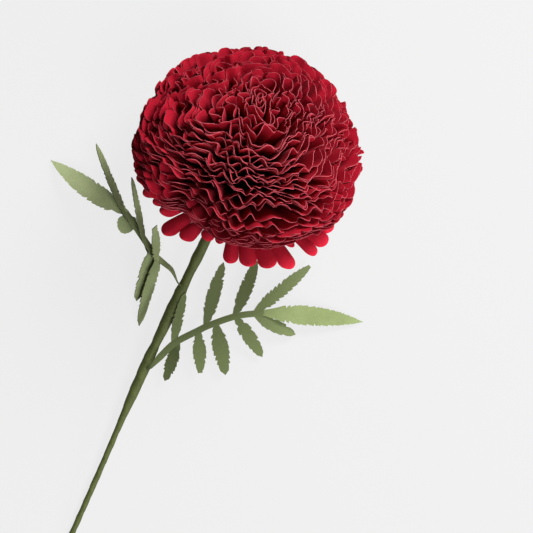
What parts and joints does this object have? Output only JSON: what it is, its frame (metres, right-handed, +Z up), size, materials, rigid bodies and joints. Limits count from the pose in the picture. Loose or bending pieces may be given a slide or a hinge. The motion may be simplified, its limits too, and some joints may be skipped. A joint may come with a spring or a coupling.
{
  "type": "paper flower",
  "caption": "Handmade paper flower: a ball of ruffled crimson paper discs on a tape-wound wire stem with cut green paper leaves.",
  "frame": {"origin": "centre of the footprint, on the surface that the flower lies on", "axes": "+Z up from that surface, +Y along the stem from its cut end to the flower, +X to the right leaf's side"},
  "size_m": [0.1788, 0.2722, 0.0968],
  "materials": {
    "petal_paper": "matt crimson craft paper",
    "leaf_paper": "matt olive green craft paper",
    "floral_tape": "waxed crepe floral tape, satin",
    "wire": "bare florist's wire",
    "covered_wire": "wire covered in thin green paper"
  },
  "bodies": {
    "root": {"petal_skirt": "petal_paper", "petal_layer_01": "petal_paper", "petal_layer_02": "petal_paper", "petal_layer_03": "petal_paper", "petal_layer_04": "petal_paper", "petal_layer_05": "petal_paper", "petal_layer_06": "petal_paper", "petal_layer_07": "petal_paper", "petal_layer_08": "petal_paper", "petal_layer_09": "petal_paper", "petal_layer_10": "petal_paper", "petal_layer_11": "petal_paper", "petal_layer_12": "petal_paper", "petal_layer_13": "petal_paper", "petal_layer_14": "petal_paper", "petal_layer_15": "petal_paper", "petal_layer_16": "petal_paper", "petal_layer_17": "petal_paper", "petal_layer_18": "petal_paper", "petal_layer_19": "petal_paper", "petal_layer_20": "petal_paper", "petal_layer_21": "petal_paper", "stem_wire": "wire", "stem_tape": "floral_tape", "leaf_left": "leaf_paper", "leaf_right": "leaf_paper", "leaf_wire_left": "covered_wire", "leaf_wire_right": "covered_wire"}
  },
  "joints": []
}
